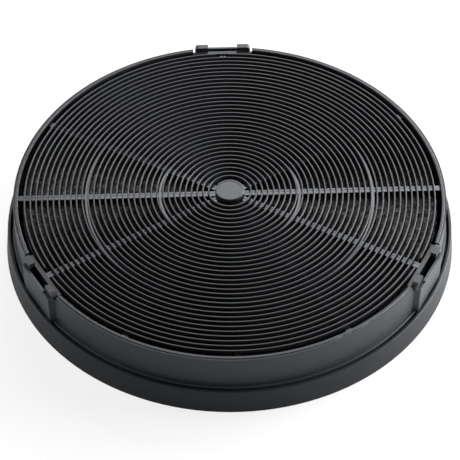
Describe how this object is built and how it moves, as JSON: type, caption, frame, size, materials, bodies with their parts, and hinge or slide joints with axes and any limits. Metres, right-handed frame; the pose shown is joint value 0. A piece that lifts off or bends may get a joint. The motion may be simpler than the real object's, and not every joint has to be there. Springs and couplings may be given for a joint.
{
  "type": "cooker hood carbon filter",
  "caption": "Round black carbon filter for a cooker hood, with concentric ring grilles, radial spokes, bayonet catches on the rim and a wider cover band below",
  "frame": {"origin": "centre of the underside, where the cover's foot stands", "axes": "+Z along the filter's axis towards the face with the bayonet catches, +Y through the middle of one catch"},
  "size_m": [0.233, 0.233, 0.0347],
  "materials": {
    "black_plastic": "satin black injection moulding",
    "carbon_granules": "dull black carbon granules"
  },
  "bodies": {
    "root": {"casing": "black_plastic", "top_grille": "black_plastic", "base_cover": "black_plastic", "carbon_bed": "carbon_granules"}
  },
  "joints": []
}
